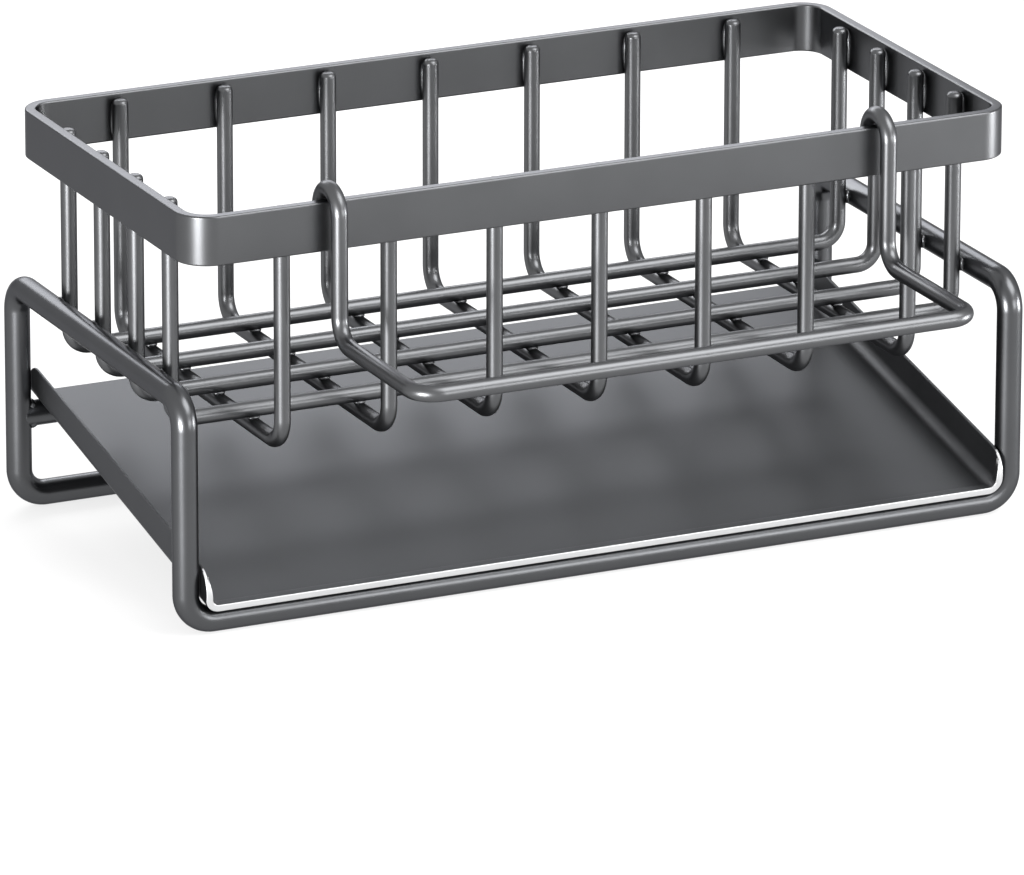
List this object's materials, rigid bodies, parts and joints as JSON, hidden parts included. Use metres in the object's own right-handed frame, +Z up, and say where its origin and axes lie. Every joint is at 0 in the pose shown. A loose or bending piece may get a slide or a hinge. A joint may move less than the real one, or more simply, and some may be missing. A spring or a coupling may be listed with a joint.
{
  "type": "kitchen sink caddy",
  "caption": "Wire kitchen sink caddy in gunmetal-grey coated steel, with a flat-bar rim, a round-bar stand, a sloping drain tray that pulls out and a towel bar hooked over the rim.",
  "frame": {"origin": "on the counter, under the middle of the stand: where the foot bars' lowest lines lie, halfway between the front and rear foot bars and halfway between the left and right legs", "axes": "+X to the right along the rim, as seen from the front; the front, where the towel bar and the tray's low edge are, faces -Y; +Z up, away from the counter"},
  "size_m": [0.2486, 0.1762, 0.119],
  "materials": {
    "coated_band": "gunmetal-grey coating with a satin sheen, on flat bar",
    "coated_bar": "gunmetal-grey coating with a satin sheen, on round bar",
    "coated_wire": "gunmetal-grey coating with a satin sheen, on wire",
    "coated_sheet": "gunmetal-grey coating with a soft sheen, on sheet"
  },
  "bodies": {
    "caddy": {"rim_band": "coated_band", "cross_wire_1": "coated_wire", "cross_wire_2": "coated_wire", "cross_wire_3": "coated_wire", "cross_wire_4": "coated_wire", "cross_wire_5": "coated_wire", "cross_wire_6": "coated_wire", "cross_wire_7": "coated_wire", "long_wire_1": "coated_wire", "long_wire_2": "coated_wire", "long_wire_3": "coated_wire", "long_wire_4": "coated_wire", "stand_frame": "coated_bar", "tray_rest_bar": "coated_bar"},
    "tray": {"drain_tray": "coated_sheet"},
    "towel_rail": {"towel_bar": "coated_wire"}
  },
  "joints": [
    {"name": "tray_slide", "type": "slide", "parent": "caddy", "child": "tray", "axis": [0, -1, 0], "range_m": [0, 0.12]},
    {"name": "towel_bar_lift", "type": "slide", "parent": "caddy", "child": "towel_rail", "axis": [0, 0, 1], "range_m": [0, 0.06]}
  ]
}
